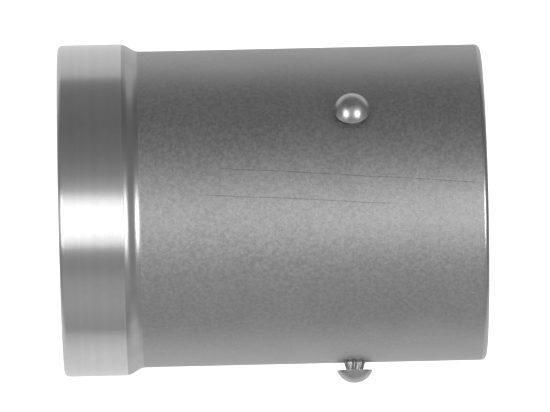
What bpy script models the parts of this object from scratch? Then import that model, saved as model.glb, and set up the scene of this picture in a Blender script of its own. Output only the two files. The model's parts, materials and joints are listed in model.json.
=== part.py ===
"""Rigid sleeve coupling: a plain tube turned from one bar with a shallow collar at one end, and three
round-head drive screws spaced evenly round it, each standing proud with its head clear of the tube.

Metres. +Z runs along the bore from the collar end to the plain end. The origin is on the bore axis, at the
part's centre of mass. Each drive screw's own origin is on its axis, at the tube's outer surface.
"""

import math

import bpy
from mathutils import Matrix, Vector

MM = 0.001

# Driving dimensions, in millimetres. Heights are measured from the collar's end face.
LENGTH = 76.2
BODY_DIAMETER = 57.15
BORE_DIAMETER = 47.625
COLLAR_RISE = 1.375
COLLAR_WIDTH = 11.85
SHOULDER_ANGLE = math.radians(33)
SHOULDER_ROUND = 3.0
END_ROUND = 0.9
BORE_MOUTH_CHAMFER = 0.5
CENTRE_OF_MASS_HEIGHT = 36.5

SCREW_COUNT = 3
FIRST_SCREW_ANGLE = math.radians(-90)
SCREW_FROM_PLAIN_END = 23.8
HEAD_DIAMETER = 6.5
HEAD_HEIGHT = 2.3
HEAD_RIM = 0.12
HEAD_STANDOFF = 1.38
LENGTH_UNDER_HEAD = 6.1
THREAD_STARTS = 8
THREAD_LEAD_ANGLE = math.radians(10)
THREAD_CREST_RADIUS = 1.9
THREAD_ROOT_RADIUS = 1.4
NECK_RADIUS = 1.5
PILOT_RADIUS = 1.3
PILOT_LENGTH = 1.1
PILOT_CHAMFER = 0.35
THREAD_RUN_IN = 0.3
NECK_FLARE = 0.1
HOLE_CLEARANCE = 0.1

# Worked out from the ones above.
BODY_RADIUS = BODY_DIAMETER / 2
BORE_RADIUS = BORE_DIAMETER / 2
COLLAR_RADIUS = BODY_RADIUS + COLLAR_RISE
WALL = BODY_RADIUS - BORE_RADIUS
SHOULDER_LENGTH = COLLAR_RISE / math.tan(SHOULDER_ANGLE)
SCREW_HEIGHT = LENGTH - SCREW_FROM_PLAIN_END - CENTRE_OF_MASS_HEIGHT
HOLE_RADIUS = THREAD_CREST_RADIUS + HOLE_CLEARANCE

# Facets.
SLEEVE_STEPS = 96
ARC_STEPS = 5
HOLE_STEPS = 48
POINTS_PER_START = 6
DOME_STEPS = 8
THREAD_RINGS = 10
SHARP_ABOVE = math.radians(28)
CUTTER_OVERRUN = 2


def clear_scene():
    for obj in list(bpy.data.objects):
        bpy.data.objects.remove(obj, do_unlink=True)


def metal(name, colour, roughness):
    """A bare metal with its own colour and roughness."""
    material = bpy.data.materials.new(name)
    material.use_nodes = True
    shader = material.node_tree.nodes["Principled BSDF"]
    shader.inputs["Base Color"].default_value = (*colour, 1)
    shader.inputs["Metallic"].default_value = 1
    shader.inputs["Roughness"].default_value = roughness
    return material


def make_object(name, points, faces):
    """A mesh object from points in millimetres."""
    mesh = bpy.data.meshes.new(name)
    mesh.from_pydata([Vector(point) * MM for point in points], [], faces)
    mesh.validate()
    obj = bpy.data.objects.new(name, mesh)
    bpy.context.scene.collection.objects.link(obj)
    return obj


def finish_surface(obj, material):
    """Gives the object its material, and shades it smooth between its real edges."""
    obj.data.materials.append(material)
    obj.data.shade_smooth()
    obj.data.set_sharp_from_angle(angle=SHARP_ABOVE)


def rounded_corner(before, corner, after, radius):
    """The points of an arc of this radius that is tangent to both sides of a corner."""
    to_before = (before - corner).normalized()
    to_after = (after - corner).normalized()
    half_angle = to_before.angle(to_after) / 2
    middle = corner + (to_before + to_after).normalized() * radius / math.sin(half_angle)
    start = corner + to_before * radius / math.tan(half_angle) - middle
    turn = start.angle_signed(corner + to_after * radius / math.tan(half_angle) - middle)
    return [
        middle + Matrix.Rotation(-turn * step / ARC_STEPS, 2) @ start
        for step in range(ARC_STEPS + 1)
    ]


def sleeve_profile():
    """(radius, height) points round the sleeve's wall, anticlockwise with radius to the right."""
    collar_face = Vector((BORE_RADIUS + BORE_MOUTH_CHAMFER, 0))
    collar_end = Vector((COLLAR_RADIUS, 0))
    collar_edge = Vector((COLLAR_RADIUS, COLLAR_WIDTH))
    shoulder_root = Vector((BODY_RADIUS, COLLAR_WIDTH + SHOULDER_LENGTH))
    plain_end = Vector((BODY_RADIUS, LENGTH))
    plain_face = Vector((BORE_RADIUS + BORE_MOUTH_CHAMFER, LENGTH))
    return [
        collar_face,
        *rounded_corner(collar_face, collar_end, collar_edge, END_ROUND),
        *rounded_corner(collar_end, collar_edge, shoulder_root, SHOULDER_ROUND),
        *rounded_corner(collar_edge, shoulder_root, plain_end, SHOULDER_ROUND),
        *rounded_corner(shoulder_root, plain_end, plain_face, END_ROUND),
        plain_face,
        (BORE_RADIUS, LENGTH - BORE_MOUTH_CHAMFER),
        (BORE_RADIUS, BORE_MOUTH_CHAMFER),
    ]


def revolve(name, profile, steps):
    """A ring made by turning a closed profile about the Z axis."""
    points = []
    for step in range(steps):
        angle = 2 * math.pi * step / steps
        for radius, height in profile:
            points.append((radius * math.cos(angle), radius * math.sin(angle), height))
    count = len(profile)
    faces = []
    for step in range(steps):
        here = step * count
        there = (step + 1) % steps * count
        for i in range(count):
            j = (i + 1) % count
            faces.append((here + i, there + i, there + j, here + j))
    return make_object(name, points, faces)


def loft(name, rings):
    """A solid skinned over rings of equal length, listed from the bottom up, with a flat face at each end."""
    count = len(rings[0])
    points = [point for ring in rings for point in ring]
    faces = [tuple(reversed(range(count)))]
    for level in range(len(rings) - 1):
        low = level * count
        high = low + count
        for i in range(count):
            j = (i + 1) % count
            faces.append((low + i, low + j, high + j, high + i))
    faces.append(tuple(range(high, high + count)))
    return make_object(name, points, faces)


def circle(radius, height, count):
    turns = [2 * math.pi * i / count for i in range(count)]
    return [(radius * math.cos(turn), radius * math.sin(turn), height) for turn in turns]


def fluted_ring(root, crest, height):
    """One slice of the multi-start thread, turned by its helix."""
    count = THREAD_STARTS * POINTS_PER_START
    twist = height * math.tan(THREAD_LEAD_ANGLE) / THREAD_CREST_RADIUS
    ring = []
    for i in range(count):
        angle = 2 * math.pi * i / count
        ridge = (1 + math.cos(THREAD_STARTS * angle)) / 2
        radius = root + (crest - root) * ridge
        ring.append((radius * math.cos(angle + twist), radius * math.sin(angle + twist), height))
    return ring


def drive_screw_rings():
    """Rings from the tip up to the crown, with height 0 at the tube's surface."""
    count = THREAD_STARTS * POINTS_PER_START
    tip = HEAD_STANDOFF - LENGTH_UNDER_HEAD
    thread_foot = tip + PILOT_LENGTH
    thread_start = thread_foot + THREAD_RUN_IN
    thread_top = HEAD_STANDOFF - NECK_FLARE
    rings = [
        circle(PILOT_RADIUS - PILOT_CHAMFER, tip, count),
        circle(PILOT_RADIUS, tip + PILOT_CHAMFER, count),
        circle(PILOT_RADIUS, thread_foot, count),
    ]
    for step in range(THREAD_RINGS + 1):
        height = thread_start + (thread_top - thread_start) * step / THREAD_RINGS
        above = min(max(height / HEAD_STANDOFF, 0), 1)
        crest = THREAD_CREST_RADIUS + (NECK_RADIUS - THREAD_CREST_RADIUS) * above
        rings.append(fluted_ring(THREAD_ROOT_RADIUS, crest, height))
    head_radius = HEAD_DIAMETER / 2
    rings.append(circle(NECK_RADIUS + NECK_FLARE, HEAD_STANDOFF, count))
    rings.append(circle(head_radius - HEAD_RIM, HEAD_STANDOFF, count))
    cap_height = HEAD_HEIGHT - HEAD_RIM
    cap_radius = (head_radius**2 + cap_height**2) / (2 * cap_height)
    cap_centre = HEAD_STANDOFF + HEAD_HEIGHT - cap_radius
    half_angle = math.asin(head_radius / cap_radius)
    for step in range(DOME_STEPS):
        angle = half_angle * (1 - step / DOME_STEPS)
        rings.append(circle(cap_radius * math.sin(angle), cap_centre + cap_radius * math.cos(angle), count))
    return rings


def screw_angles():
    return [FIRST_SCREW_ANGLE + 2 * math.pi * i / SCREW_COUNT for i in range(SCREW_COUNT)]


def place_radially(obj, angle, radius):
    """Stands the object's own +Z outwards from the bore axis, with its origin at this radius."""
    outward = Vector((math.cos(angle), math.sin(angle), 0))
    obj.location = (outward * radius + Vector((0, 0, SCREW_HEIGHT))) * MM
    obj.rotation_mode = "QUATERNION"
    obj.rotation_quaternion = outward.to_track_quat("Z", "Y")


def make_sleeve():
    profile = [(radius, height - CENTRE_OF_MASS_HEIGHT) for radius, height in sleeve_profile()]
    sleeve = revolve("sleeve", profile, SLEEVE_STEPS)
    finish_surface(sleeve, metal("blasted_aluminium", (0.46, 0.46, 0.46), 0.42))
    for number, angle in enumerate(screw_angles(), 1):
        ends = (-WALL - CUTTER_OVERRUN, CUTTER_OVERRUN)
        rings = [circle(HOLE_RADIUS, height, HOLE_STEPS) for height in ends]
        cutter = loft(f"hole_cutter_{number}", rings)
        cutter.hide_render = True
        cutter.display_type = "WIRE"
        place_radially(cutter, angle, BODY_RADIUS)
        cut = sleeve.modifiers.new(f"drive_screw_hole_{number}", "BOOLEAN")
        cut.operation = "DIFFERENCE"
        cut.solver = "EXACT"
        cut.object = cutter


def make_drive_screws():
    plated_steel = metal("zinc_plated_steel", (0.62, 0.62, 0.62), 0.18)
    for number, angle in enumerate(screw_angles(), 1):
        screw = loft(f"drive_screw_{number}", drive_screw_rings())
        finish_surface(screw, plated_steel.copy())
        place_radially(screw, angle, BODY_RADIUS)


def main():
    clear_scene()
    make_sleeve()
    make_drive_screws()


main()
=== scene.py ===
"""Looks for the rigid sleeve coupling: a bead-blasted aluminium sleeve with a bright turned collar, and
three zinc-plated round-head drive screws.

Everything is in the CAD's frame, in metres, with +Z along the bore.
"""

import json
import math

import bpy
from mathutils import Matrix, Vector

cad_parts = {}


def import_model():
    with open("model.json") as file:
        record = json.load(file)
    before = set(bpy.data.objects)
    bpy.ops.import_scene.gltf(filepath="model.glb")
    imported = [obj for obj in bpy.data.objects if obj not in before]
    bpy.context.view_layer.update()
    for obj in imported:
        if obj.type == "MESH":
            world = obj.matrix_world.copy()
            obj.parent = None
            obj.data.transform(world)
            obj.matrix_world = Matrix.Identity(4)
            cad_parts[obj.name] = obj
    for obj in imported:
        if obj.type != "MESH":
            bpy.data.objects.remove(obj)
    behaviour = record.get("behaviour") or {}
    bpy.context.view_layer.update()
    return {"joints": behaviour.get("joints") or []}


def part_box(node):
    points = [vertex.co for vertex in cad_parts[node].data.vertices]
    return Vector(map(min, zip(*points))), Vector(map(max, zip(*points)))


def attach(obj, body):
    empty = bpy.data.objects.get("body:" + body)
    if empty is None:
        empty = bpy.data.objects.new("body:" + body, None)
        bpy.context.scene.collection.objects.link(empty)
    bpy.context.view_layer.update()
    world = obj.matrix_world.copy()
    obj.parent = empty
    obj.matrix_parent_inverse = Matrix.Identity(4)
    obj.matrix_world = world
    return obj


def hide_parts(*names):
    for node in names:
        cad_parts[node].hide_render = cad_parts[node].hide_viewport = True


MM = 0.001

# The sleeve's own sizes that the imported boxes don't give, in millimetres.
BODY_RADIUS = 28.575
BORE_RADIUS = 23.8125
COLLAR_WIDTH = 11.85
SHOULDER_ANGLE = math.radians(33)
SHOULDER_ROUND = 3.0
END_ROUND = 0.9
BORE_MOUTH_CHAMFER = 0.5
HOLE_RADIUS = 2.0
CUTTER_OVERRUN = 2.0

# The drive screw's sizes, in millimetres, with height 0 at the tube's surface.
HEAD_RADIUS = 3.25
HEAD_HEIGHT = 2.3
HEAD_RIM_ROUND = 0.06
DOME_START = 0.985
HEAD_STANDOFF = 1.38
LENGTH_UNDER_HEAD = 6.1
THREAD_STARTS = 8
THREAD_LEAD_ANGLE = math.radians(10)
THREAD_CREST_RADIUS = 1.9
THREAD_ROOT_RADIUS = 1.4
THREAD_RUN_IN = 0.3
THREAD_RUN_OUT = 0.12
RIDGE_SHARPNESS = 1.6
NECK_RADIUS = 1.5
# Where the neck meets the head: how far past the neck's radius, and how far below the head.
NECK_FLARE = ((0.02, 0.03), (0.1, 0))
PILOT_RADIUS = 1.3
PILOT_LENGTH = 1.1
# Down its eased tip: inset from the pilot's radius, and height above the end.
PILOT_TIP = ((0.35, 0), (0.3, 0.02), (0.04, 0.31), (0, 0.37))

# The photograph's view: the camera looks nearly square at the bore axis, with +Z to its right.
CAMERA_AZIMUTH = math.radians(34.7)
CAMERA_YAW = math.radians(0.65)
CAMERA_ROLL = math.radians(1.27)
CAMERA_DISTANCE = 1.25
VIEW_WIDTH = 0.09955
SENSOR_WIDTH = 36.0
# How far the picture's centre is from the sleeve's middle, to the right and up, in metres.
FRAMING = (0.00056, 0.00011)

# The finishes: darkest and lightest grey, and smoothest and roughest.
BODY_GREYS = (0.45, 0.57)
BODY_ROUGHNESS = (0.42, 0.5)
SHOULDER_GREYS = (0.51, 0.57)
SHOULDER_ROUGHNESS = 0.31
HEAD_GREYS = (0.56, 0.68)
HEAD_ROUGHNESS = (0.3, 0.36)
THREAD_GREY = 0.36
THREAD_EXTRA_ROUGHNESS = 0.1

# The turned finishes: darkest and lightest grey, roughness, anisotropy, metres between marks, and relief.
TURNED_FINISH = (0.77, 0.83, 0.3, 1.0, 0.00016, 0.12)
CUT_FINISH = (0.86, 0.94, 0.2, 0.4, 0.0001, 0.1)
BORED_FINISH = (0.5, 0.64, 0.36, 0.5, 0.00022, 0.5)

# The hairline scratches: at each end, the height in metres and the angle up from the line that faces the
# camera. They wander to either side by up to an angle, and fade out over a length.
LONG_SCRATCH = ((-0.0093, math.radians(14.6)), (0.0397, math.radians(6.9)))
SHORT_SCRATCH = ((-0.0129, math.radians(5.2)), (0.0240, 0.0))
SCRATCH_HALF_WIDTH = 0.0045
SCRATCH_WANDER = 0.007
SCRATCH_FADE = 0.004

# The stage, in metres. The sweep is a globe of rings at these latitudes, in radians.
TABLE_RADIUS = 2.5
TABLE_GAP = 0.00002
TABLE_GLOW = 0.8
SWEEP_RADIUS = 5.0
SWEEP_LATITUDES = (-1.4, -0.9, -0.4, 0.1, 0.6, 1.1, 1.5)
SWEEP_GLOW = 1.1

# The two soft boxes, by angles seen from the origin: tilted towards either end of the bore, a little below
# the camera. Their width is along the bore.
SOFT_BOX_DISTANCE = 0.62
SOFT_BOX_TILT = math.radians(33)
SOFT_BOX_RISE = math.radians(-8)
SOFT_BOX_HALF_HEIGHT = math.radians(17)
SOFT_BOX_HALF_WIDTH = math.radians(12)
SOFT_BOX_RADIANCE = 4.0

# Along the bore the studio fades to one dim level, between these two sizes of a direction's Z.
END_LEVEL = 0.2
END_SLOPES = (0.74, 0.9)

# The studio's grey level by direction round the bore: degrees up from the camera's side, and level.
WORLD_BANDS = (
    (-180, 0.72),
    (-124, 0.68),
    (-110, 0.60),
    (-99, 0.46),
    (-95.5, 0.38),
    (-92, 0.22),
    (-88, 0.31),
    (-70, 0.38),
    (-54, 0.36),
    (-40, 0.26),
    (-20, 0.36),
    (15, 0.43),
    (25, 0.27),
    (40, 0.19),
    (60, 0.15),
    (103.5, 0.16),
    (107.5, 0.44),
    (122, 0.58),
    (180, 0.72),
)

STEPS_AROUND = 288
HOLE_STEPS = 128
ARC_STEPS = 10
DOME_STEPS = 28
POINTS_PER_START = 16
THREAD_RINGS = 40
TABLE_STEPS = 128
SWEEP_STEPS = 96

# Edges that turn by more than these many degrees are shaded sharp.
SLEEVE_SHARP_ABOVE = 24
SCREW_SHARP_ABOVE = 40


# ---------------------------------------------------------------- directions


def view_axes():
    """Unit vectors of the photograph's view: towards the camera, to its right and up in its picture."""
    level = Vector((math.sin(CAMERA_AZIMUTH), -math.cos(CAMERA_AZIMUTH), 0))
    bore = Vector((0, 0, 1))
    back = level * math.cos(CAMERA_YAW) - bore * math.sin(CAMERA_YAW)
    right = bore * math.cos(CAMERA_YAW) + level * math.sin(CAMERA_YAW)
    up = back.cross(right)
    turned_right = right * math.cos(CAMERA_ROLL) - up * math.sin(CAMERA_ROLL)
    turned_up = up * math.cos(CAMERA_ROLL) + right * math.sin(CAMERA_ROLL)
    return back, turned_right, turned_up


# ---------------------------------------------------------------- material nodes


class Graph:
    """A short way to write a shader node tree."""

    def __init__(self, tree):
        self.tree = tree

    def node(self, kind, **settings):
        node = self.tree.nodes.new(kind)
        for name, value in settings.items():
            setattr(node, name, value)
        return node

    def put(self, socket, value):
        if isinstance(value, bpy.types.NodeSocket):
            self.tree.links.new(value, socket)
        else:
            socket.default_value = value

    def math(self, operation, *values):
        node = self.node("ShaderNodeMath", operation=operation)
        for socket, value in zip(node.inputs, values):
            self.put(socket, value)
        return node.outputs[0]

    def remap(self, value, low, high, to_low, to_high):
        node = self.node("ShaderNodeMapRange", interpolation_type="SMOOTHSTEP")
        for name, setting in (
            ("Value", value),
            ("From Min", low),
            ("From Max", high),
            ("To Min", to_low),
            ("To Max", to_high),
        ):
            self.put(node.inputs[name], setting)
        return node.outputs["Result"]

    def noise(self, vector, scale, detail=2.0, roughness=0.5, dimensions="3D"):
        node = self.node("ShaderNodeTexNoise", noise_dimensions=dimensions)
        self.put(node.inputs["W" if dimensions == "1D" else "Vector"], vector)
        self.put(node.inputs["Scale"], scale)
        self.put(node.inputs["Detail"], detail)
        self.put(node.inputs["Roughness"], roughness)
        return node.outputs["Fac"]

    def grey_mix(self, amount, dark, light):
        """A grey between two levels."""
        node = self.node("ShaderNodeMix", data_type="RGBA")
        self.put(node.inputs["Factor"], amount)
        self.put(node.inputs["A"], (dark, dark, dark, 1))
        self.put(node.inputs["B"], (light, light, light, 1))
        return node.outputs["Result"]

    def shade(self, colour, amount, target):
        """A colour taken towards a grey level by an amount from 0 to 1."""
        node = self.node("ShaderNodeMix", data_type="RGBA")
        self.put(node.inputs["Factor"], amount)
        self.put(node.inputs["A"], colour)
        self.put(node.inputs["B"], (target, target, target, 1))
        return node.outputs["Result"]

    def bump(self, height, strength, distance):
        node = self.node("ShaderNodeBump")
        self.put(node.inputs["Height"], height)
        self.put(node.inputs["Strength"], strength)
        self.put(node.inputs["Distance"], distance)
        return node.outputs["Normal"]

    def position(self):
        """The point on the part, in the CAD's frame."""
        return self.node("ShaderNodeTexCoord").outputs["Object"]

    def split(self, vector):
        node = self.node("ShaderNodeSeparateXYZ")
        self.put(node.inputs[0], vector)
        return node.outputs


def new_metal(name):
    """A metal Principled material, with its graph and shader to finish."""
    material = bpy.data.materials.new(name)
    material.use_nodes = True
    shader = material.node_tree.nodes["Principled BSDF"]
    shader.inputs["Metallic"].default_value = 1.0
    return material, Graph(material.node_tree), shader


def scratch_mask(graph, above_middle, height, ends):
    """1 on a hairline that runs along the sleeve between two ends, fading out there and faint in places."""
    (start, start_angle), (end, end_angle) = ends
    slope = (end_angle - start_angle) / (end - start)
    along = graph.math("SUBTRACT", height, start)
    wander = graph.noise(height, 60.0, 1.0, dimensions="1D")
    wander = graph.math("MULTIPLY_ADD", wander, 2 * SCRATCH_WANDER, start_angle - SCRATCH_WANDER)
    centre = graph.math("MULTIPLY_ADD", along, slope, wander)
    off = graph.math("ABSOLUTE", graph.math("SUBTRACT", above_middle, centre))
    line = graph.remap(off, SCRATCH_HALF_WIDTH * 0.3, SCRATCH_HALF_WIDTH, 1.0, 0.0)
    head = graph.remap(height, start, start + SCRATCH_FADE, 0.0, 1.0)
    tail = graph.remap(height, end - SCRATCH_FADE, end, 1.0, 0.0)
    faint = graph.remap(graph.noise(height, 420.0, 1.0, dimensions="1D"), 0.34, 0.52, 0.6, 1.0)
    fades = graph.math("MULTIPLY", head, tail)
    return graph.math("MULTIPLY", graph.math("MULTIPLY", line, fades), faint)


def scratches_on(graph, place):
    """1 on either scratch, from the point on the sleeve."""
    x, y, z = graph.split(place)
    middle = math.atan2(-math.cos(CAMERA_AZIMUTH), math.sin(CAMERA_AZIMUTH))
    above_middle = graph.math("SUBTRACT", middle, graph.math("ARCTAN2", y, x))
    masks = [scratch_mask(graph, above_middle, z, ends) for ends in (LONG_SCRATCH, SHORT_SCRATCH)]
    return graph.math("MAXIMUM", *masks)


def blasted_aluminium():
    """The sleeve's body: an even satin grey with a fine bead-blasted grain, and two hairline scratches."""
    material, graph, shader = new_metal("blasted_aluminium")
    place = graph.position()
    grain = graph.noise(place, 4200.0, 2.0, 0.6)
    coarse = graph.noise(place, 1500.0, 2.0, 0.55)
    blotches = graph.noise(place, 95.0, 3.0, 0.5)
    tone = graph.math("MULTIPLY_ADD", coarse, 0.45, graph.math("MULTIPLY", grain, 0.55))
    colour = graph.grey_mix(graph.remap(tone, 0.3, 0.72, 0.0, 1.0), *BODY_GREYS)
    colour = graph.shade(colour, graph.remap(blotches, 0.35, 0.7, 0.0, 0.10), 0.75)
    specks = graph.remap(graph.noise(place, 2300.0, 1.0, 0.4), 0.68, 0.78, 0.0, 0.25)
    colour = graph.shade(colour, specks, 0.95)
    scratches = scratches_on(graph, place)
    colour = graph.shade(colour, graph.math("MULTIPLY", scratches, 0.35), 0.12)
    graph.put(shader.inputs["Base Color"], colour)
    graph.put(shader.inputs["Roughness"], graph.remap(coarse, 0.3, 0.7, *BODY_ROUGHNESS))
    relief = graph.math("SUBTRACT", grain, graph.math("MULTIPLY", scratches, 1.5))
    graph.put(shader.inputs["Normal"], graph.bump(relief, 0.16, 0.00004))
    return material


def lathe_marks(graph, height, pitch):
    """A level from 0 to 1 that changes only along the bore, as a turning tool leaves it."""
    fine = graph.noise(height, 1 / pitch, 2.0, 0.6, dimensions="1D")
    wide = graph.noise(height, 0.12 / pitch, 1.0, 0.5, dimensions="1D")
    return graph.math("MULTIPLY_ADD", wide, 0.4, graph.math("MULTIPLY", fine, 0.6))


def turned_metal(name, dark, light, roughness, anisotropy, pitch, relief):
    """Metal from a dark to a light grey, with marks round the bore that spread a reflection along it.

    The pitch is between marks, in metres, and the relief is how strongly they tilt the surface, up to 1.
    """
    material, graph, shader = new_metal(name)
    shader.inputs["Anisotropic"].default_value = anisotropy
    shader.inputs["Anisotropic Rotation"].default_value = 0.25
    tangent = graph.node("ShaderNodeTangent", direction_type="RADIAL", axis="Z")
    graph.put(shader.inputs["Tangent"], tangent.outputs[0])
    place = graph.position()
    height = graph.split(place)[2]
    marks = lathe_marks(graph, height, pitch)
    smudges = graph.noise(place, 130.0, 3.0, 0.5)
    colour = graph.grey_mix(graph.remap(marks, 0.3, 0.7, 0.0, 1.0), dark, light)
    colour = graph.shade(colour, graph.remap(smudges, 0.2, 0.8, 0.0, 0.05), dark * 0.8)
    spots = graph.noise(place, 1400.0, 2.0, 0.6)
    colour = graph.shade(colour, graph.remap(spots, 0.35, 0.7, 0.0, 0.07), dark * 0.6)
    graph.put(shader.inputs["Base Color"], colour)
    polish = graph.remap(smudges, 0.2, 0.8, roughness * 0.95, roughness * 1.05)
    graph.put(shader.inputs["Roughness"], polish)
    graph.put(shader.inputs["Normal"], graph.bump(marks, relief, 0.00001))
    return material


def smooth_shoulder():
    """The sleeve's shoulder and its plain end's round: smoother than the body, without its grain."""
    material, graph, shader = new_metal("smooth_aluminium")
    haze = graph.noise(graph.position(), 300.0, 2.0, 0.5)
    colour = graph.grey_mix(graph.remap(haze, 0.25, 0.75, 0.0, 1.0), *SHOULDER_GREYS)
    graph.put(shader.inputs["Base Color"], colour)
    graph.put(shader.inputs["Roughness"], SHOULDER_ROUGHNESS)
    return material


def plated_steel():
    """The drive screws' zinc plate: bright on the head, with a soft haze, and dull on the thread."""
    material, graph, shader = new_metal("zinc_plate")
    place = graph.position()
    x, y, _ = graph.split(place)
    from_axis = graph.math("SQRT", graph.math("MULTIPLY_ADD", x, x, graph.math("MULTIPLY", y, y)))
    under_head = (BODY_RADIUS + HEAD_STANDOFF) * MM
    thread = graph.remap(from_axis, under_head - 0.2 * MM, under_head, 1.0, 0.0)
    haze = graph.noise(place, 700.0, 3.0, 0.55)
    colour = graph.grey_mix(graph.remap(haze, 0.3, 0.7, 0.0, 1.0), *HEAD_GREYS)
    colour = graph.shade(colour, graph.math("MULTIPLY", thread, 0.6), THREAD_GREY)
    graph.put(shader.inputs["Base Color"], colour)
    polish = graph.remap(haze, 0.35, 0.7, *HEAD_ROUGHNESS)
    roughness = graph.math("MULTIPLY_ADD", thread, THREAD_EXTRA_ROUGHNESS, polish)
    graph.put(shader.inputs["Roughness"], roughness)
    graph.put(shader.inputs["Normal"], graph.bump(haze, 0.06, 0.00003))
    return material


# ---------------------------------------------------------------- shapes


def link(obj):
    bpy.context.scene.collection.objects.link(obj)
    return obj


def mesh_object(name, points, faces, face_materials=None):
    """A mesh object from points in millimetres, with the material slot of each face if it has several."""
    mesh = bpy.data.meshes.new(name)
    mesh.from_pydata([Vector(point) * MM for point in points], [], faces)
    if face_materials:
        mesh.polygons.foreach_set("material_index", face_materials)
    return link(bpy.data.objects.new(name, mesh))


def smooth(obj, sharp_degrees):
    """Shades the object smooth, except over edges that turn by more than this."""
    obj.data.shade_smooth()
    obj.data.set_sharp_from_angle(angle=math.radians(sharp_degrees))


def apply_modifiers(obj):
    """Swaps the object's mesh for what its modifiers make of it."""
    graph = bpy.context.evaluated_depsgraph_get()
    mesh = bpy.data.meshes.new_from_object(obj.evaluated_get(graph))
    obj.modifiers.clear()
    obj.data = mesh


def rounded_corner(before, corner, after, radius):
    """The points of an arc of this radius that is tangent to both sides of a corner."""
    to_before = (before - corner).normalized()
    to_after = (after - corner).normalized()
    half_angle = to_before.angle(to_after) / 2
    middle = corner + (to_before + to_after).normalized() * radius / math.sin(half_angle)
    start = corner + to_before * radius / math.tan(half_angle) - middle
    turn = start.angle_signed(corner + to_after * radius / math.tan(half_angle) - middle)
    return [
        middle + Matrix.Rotation(-turn * step / ARC_STEPS, 2) @ start
        for step in range(ARC_STEPS + 1)
    ]


# The sleeve's material slots, in the order of sleeve_materials. The shoulder's finish starts and ends this
# many steps along its two rounds.
BLASTED, TURNED, SHOULDER, CUT, BORED = range(5)
TURNED_EDGE_STEPS = 3
SMOOTH_ROOT_STEPS = 7


def finished(points, finish):
    """Points of a profile, each with the material of the face that follows it."""
    return [(*point, finish) for point in points]


def sleeve_profile(low, high, collar_radius):
    """(radius, height, material of the face that follows) round the sleeve's wall, anticlockwise."""
    shoulder_length = (collar_radius - BODY_RADIUS) / math.tan(SHOULDER_ANGLE)
    collar_face = Vector((BORE_RADIUS + BORE_MOUTH_CHAMFER, low))
    collar_end = Vector((collar_radius, low))
    collar_edge = Vector((collar_radius, low + COLLAR_WIDTH))
    shoulder_root = Vector((BODY_RADIUS, low + COLLAR_WIDTH + shoulder_length))
    plain_end = Vector((BODY_RADIUS, high))
    plain_face = Vector((BORE_RADIUS + BORE_MOUTH_CHAMFER, high))
    start = rounded_corner(collar_face, collar_end, collar_edge, END_ROUND)
    edge = rounded_corner(collar_end, collar_edge, shoulder_root, SHOULDER_ROUND)
    root = rounded_corner(collar_edge, shoulder_root, plain_end, SHOULDER_ROUND)
    end = rounded_corner(shoulder_root, plain_end, plain_face, END_ROUND)
    profile = finished([collar_face], BORED)
    profile += finished(start + edge[:TURNED_EDGE_STEPS], TURNED)
    profile += finished(edge[TURNED_EDGE_STEPS:] + root[:SMOOTH_ROOT_STEPS], SHOULDER)
    profile += finished(root[SMOOTH_ROOT_STEPS:], BLASTED)
    profile += finished(end[:-1], SHOULDER) + finished(end[-1:], BORED)
    profile += [
        (*plain_face, CUT),
        (BORE_RADIUS, high - BORE_MOUTH_CHAMFER, BORED),
        (BORE_RADIUS, low + BORE_MOUTH_CHAMFER, CUT),
    ]
    return profile


def revolve(name, profile, steps):
    """A closed ring made by turning a profile about the bore axis."""
    points = []
    for step in range(steps):
        angle = 2 * math.pi * step / steps
        points += [(r * math.cos(angle), r * math.sin(angle), z) for r, z, _ in profile]
    count = len(profile)
    faces = []
    face_materials = []
    for step in range(steps):
        here = step * count
        there = (step + 1) % steps * count
        for i in range(count):
            j = (i + 1) % count
            faces.append((here + i, there + i, there + j, here + j))
            face_materials.append(profile[i][2])
    return mesh_object(name, points, faces, face_materials)


def skin(name, rings):
    """A solid over rings of equal length, from the bottom up, closed by a flat face at each end."""
    count = len(rings[0])
    points = [point for ring in rings for point in ring]
    faces = [tuple(reversed(range(count)))]
    for level in range(len(rings) - 1):
        low = level * count
        high = low + count
        for i in range(count):
            j = (i + 1) % count
            faces.append((low + i, low + j, high + j, high + i))
    faces.append(tuple(range(high, high + count)))
    return mesh_object(name, points, faces)


def circle(radius, height, count):
    """Points evenly round the Z axis."""
    turns = [2 * math.pi * i / count for i in range(count)]
    return [(radius * math.cos(turn), radius * math.sin(turn), height) for turn in turns]


def stand_out(obj, centre_height, angle):
    """Moves a mesh built round +Z onto the tube's surface, with its +Z pointing outwards at this angle."""
    outward = Vector((math.cos(angle), math.sin(angle), 0))
    place = Matrix.Translation((outward * BODY_RADIUS + Vector((0, 0, centre_height))) * MM)
    obj.data.transform(place @ outward.to_track_quat("Z", "Y").to_matrix().to_4x4())


def fluted_ring(crest, height, count):
    """One slice of the multi-start thread, with narrow crests and wide flutes, turned by its helix."""
    twist = height * math.tan(THREAD_LEAD_ANGLE) / THREAD_CREST_RADIUS
    ring = []
    for i in range(count):
        angle = 2 * math.pi * i / count
        ridge = ((1 + math.cos(THREAD_STARTS * angle)) / 2) ** RIDGE_SHARPNESS
        radius = THREAD_ROOT_RADIUS + (crest - THREAD_ROOT_RADIUS) * ridge
        ring.append((radius * math.cos(angle + twist), radius * math.sin(angle + twist), height))
    return ring


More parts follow.
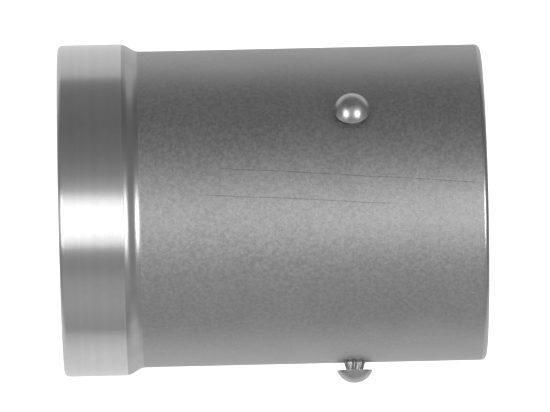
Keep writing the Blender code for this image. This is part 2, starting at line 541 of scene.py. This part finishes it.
def drive_screw_rings():
    """Rings from the tip up to the crown: pilot, fluted thread, neck, the head's rim and its dome."""
    count = THREAD_STARTS * POINTS_PER_START
    tip = HEAD_STANDOFF - LENGTH_UNDER_HEAD
    foot = tip + PILOT_LENGTH
    start = foot + THREAD_RUN_IN
    top = HEAD_STANDOFF - THREAD_RUN_OUT
    rings = [circle(PILOT_RADIUS - inset, tip + rise, count) for inset, rise in PILOT_TIP]
    rings.append(circle(PILOT_RADIUS, foot, count))
    for step in range(THREAD_RINGS + 1):
        height = start + (top - start) * step / THREAD_RINGS
        above = min(max(height / HEAD_STANDOFF, 0), 1)
        crest = THREAD_CREST_RADIUS + (NECK_RADIUS - THREAD_CREST_RADIUS) * above
        rings.append(fluted_ring(crest, height, count))
    rings += [circle(NECK_RADIUS + flare, HEAD_STANDOFF - drop, count) for flare, drop in NECK_FLARE]
    cap_radius = (HEAD_RADIUS**2 + HEAD_HEIGHT**2) / (2 * HEAD_HEIGHT)
    cap_centre = HEAD_STANDOFF + HEAD_HEIGHT - cap_radius
    half_angle = math.asin(HEAD_RADIUS / cap_radius)
    under = Vector((HEAD_RADIUS - 1, HEAD_STANDOFF))
    corner = Vector((HEAD_RADIUS, HEAD_STANDOFF))
    over = corner + Vector((-math.cos(half_angle), math.sin(half_angle)))
    rim = rounded_corner(under, corner, over, HEAD_RIM_ROUND)
    rings += [circle(point.x, point.y, count) for point in rim]
    # The dome's first ring is at this share of the rim's angle from the crown, so that the two don't meet.
    dome_foot = math.asin(rim[-1].x / cap_radius) * DOME_START
    for step in range(DOME_STEPS):
        angle = dome_foot * (1 - step / DOME_STEPS)
        rings.append(circle(cap_radius * math.sin(angle), cap_centre + cap_radius * math.cos(angle), count))
    return rings


# ---------------------------------------------------------------- pieces


def screw_pose(name):
    """(height, angle) of a drive screw's axis, from its packed box."""
    low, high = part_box(name)
    middle = (low + high) / 2
    return middle.z / MM, math.atan2(middle.y, middle.x)


def hole_cutter(screw):
    """A rod through the tube's wall, on a drive screw's axis."""
    ends = (BORE_RADIUS - BODY_RADIUS - CUTTER_OVERRUN, CUTTER_OVERRUN)
    cutter = skin("hole_cutter", [circle(HOLE_RADIUS, height, HOLE_STEPS) for height in ends])
    stand_out(cutter, *screw_pose(screw))
    return cutter


def make_sleeve(screws, materials):
    """The sleeve, in place of its CAD node, with a hole for each drive screw."""
    low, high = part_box("sleeve")
    profile = sleeve_profile(low.z / MM, high.z / MM, high.x / MM)
    sleeve = revolve("turned_sleeve", profile, STEPS_AROUND)
    for material in materials:
        sleeve.data.materials.append(material)
    cutters = [hole_cutter(screw) for screw in screws]
    for cutter in cutters:
        cut = sleeve.modifiers.new("hole", "BOOLEAN")
        cut.operation = "DIFFERENCE"
        cut.solver = "EXACT"
        cut.object = cutter
    apply_modifiers(sleeve)
    for cutter in cutters:
        bpy.data.objects.remove(cutter)
    smooth(sleeve, SLEEVE_SHARP_ABOVE)
    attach(sleeve, "sleeve")
    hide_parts("sleeve")


def make_drive_screw(node, material):
    """One drive screw, in place of its CAD node."""
    screw = skin(f"plated_{node}", drive_screw_rings())
    stand_out(screw, *screw_pose(node))
    screw.data.materials.append(material)
    smooth(screw, SCREW_SHARP_ABOVE)
    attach(screw, node)
    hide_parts(node)


# ---------------------------------------------------------------- studio


def make_camera():
    """The photograph's camera, with the sleeve's middle just off the centre of its picture."""
    back, right, up = view_axes()
    low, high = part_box("sleeve")
    target = Vector((0, 0, (low.z + high.z) / 2)) + right * FRAMING[0] + up * FRAMING[1]
    data = bpy.data.cameras.new("photo_camera")
    data.sensor_width = SENSOR_WIDTH
    data.lens = SENSOR_WIDTH * CAMERA_DISTANCE / VIEW_WIDTH
    data.clip_start = 0.01
    data.clip_end = 20
    camera = link(bpy.data.objects.new("photo_camera", data))
    turn = Matrix((right, up, back)).transposed().to_4x4()
    camera.matrix_world = Matrix.Translation(target + back * CAMERA_DISTANCE) @ turn
    bpy.context.scene.camera = camera


def white_surface(name, glow):
    """Plain white that also glows a little, so that it photographs as an even white sweep."""
    material = bpy.data.materials.new(name)
    material.use_nodes = True
    shader = material.node_tree.nodes["Principled BSDF"]
    shader.inputs["Base Color"].default_value = (0.9, 0.9, 0.9, 1)
    shader.inputs["Roughness"].default_value = 1
    shader.inputs["Specular IOR Level"].default_value = 0
    shader.inputs["Emission Color"].default_value = (1, 1, 1, 1)
    shader.inputs["Emission Strength"].default_value = glow
    return material


def hide_from_reflections(obj):
    """Keeps a stage object out of the metal's reflections and out of the lights' way."""
    obj.visible_glossy = False
    obj.visible_shadow = False
    obj.visible_transmission = False


def make_stage():
    """A round white table top under the collar's face, and a white sweep far round it."""
    low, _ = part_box("sleeve")
    edge = circle(TABLE_RADIUS / MM, (low.z - TABLE_GAP) / MM, TABLE_STEPS)
    table = mesh_object("table_top", edge, [tuple(range(len(edge)))])
    table.data.materials.append(white_surface("table_white", TABLE_GLOW))
    reach = SWEEP_RADIUS / MM
    rings = [circle(reach * math.cos(turn), reach * math.sin(turn), SWEEP_STEPS) for turn in SWEEP_LATITUDES]
    sweep = skin("white_sweep", rings)
    sweep.data.materials.append(white_surface("sweep_white", SWEEP_GLOW))
    sweep.visible_diffuse = False
    for obj in (table, sweep):
        hide_from_reflections(obj)


def make_world():
    """The studio: brightest behind the part, and dim above it and along the bore."""
    world = bpy.data.worlds.new("studio")
    world.use_nodes = True
    bpy.context.scene.world = world
    graph = Graph(world.node_tree)
    direction = graph.node("ShaderNodeTexCoord").outputs["Generated"]
    x, y, z = graph.split(direction)
    facing = (math.sin(CAMERA_AZIMUTH), -math.cos(CAMERA_AZIMUTH))
    towards = graph.math("MULTIPLY_ADD", x, facing[0], graph.math("MULTIPLY", y, facing[1]))
    upward = graph.math("MULTIPLY_ADD", x, facing[1], graph.math("MULTIPLY", y, -facing[0]))
    turn = graph.math("ARCTAN2", upward, towards)
    ramp = graph.node("ShaderNodeValToRGB")
    graph.put(ramp.inputs[0], graph.math("MULTIPLY_ADD", turn, 1 / (2 * math.pi), 0.5))
    stops = ramp.color_ramp.elements
    while len(stops) < len(WORLD_BANDS):
        stops.new(0.5)
    for stop, (degrees, level) in zip(stops, WORLD_BANDS):
        stop.position = degrees / 360 + 0.5
        stop.color = (level, level, level, 1)
    along_bore = graph.remap(graph.math("ABSOLUTE", z), *END_SLOPES, 0.0, 1.0)
    background = world.node_tree.nodes["Background"]
    graph.put(background.inputs["Color"], graph.shade(ramp.outputs["Color"], along_bore, END_LEVEL))
    background.inputs["Strength"].default_value = 1.0


def soft_box(name, tilt):
    """An oval soft box beside the camera, tilted towards one end of the bore."""
    back, right, up = view_axes()
    level = back * math.cos(SOFT_BOX_RISE) + up * math.sin(SOFT_BOX_RISE)
    direction = level * math.cos(tilt) + right * math.sin(tilt)
    data = bpy.data.lights.new(name, "AREA")
    data.shape = "ELLIPSE"
    data.size = 2 * SOFT_BOX_DISTANCE * math.tan(SOFT_BOX_HALF_HEIGHT)
    data.size_y = 2 * SOFT_BOX_DISTANCE * math.tan(SOFT_BOX_HALF_WIDTH)
    area = math.pi / 4 * data.size * data.size_y
    data.energy = SOFT_BOX_RADIANCE * math.pi * area
    light = link(bpy.data.objects.new(name, data))
    light.visible_camera = False
    turn = direction.to_track_quat("Z", "Y").to_matrix().to_4x4()
    light.matrix_world = Matrix.Translation(direction * SOFT_BOX_DISTANCE) @ turn


def make_lights():
    soft_box("soft_box_collar_side", -SOFT_BOX_TILT)
    soft_box("soft_box_plain_side", SOFT_BOX_TILT)


def main():
    bpy.context.scene.view_settings.view_transform = "Standard"
    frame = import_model()
    screws = [joint["child"] for joint in frame["joints"]]
    sleeve_materials = (
        blasted_aluminium(),
        turned_metal("turned_aluminium", *TURNED_FINISH),
        smooth_shoulder(),
        turned_metal("cut_edge", *CUT_FINISH),
        turned_metal("bored_aluminium", *BORED_FINISH),
    )
    make_sleeve(screws, sleeve_materials)
    plate = plated_steel()
    for node in screws:
        make_drive_screw(node, plate)
    make_stage()
    make_world()
    make_lights()
    make_camera()


main()
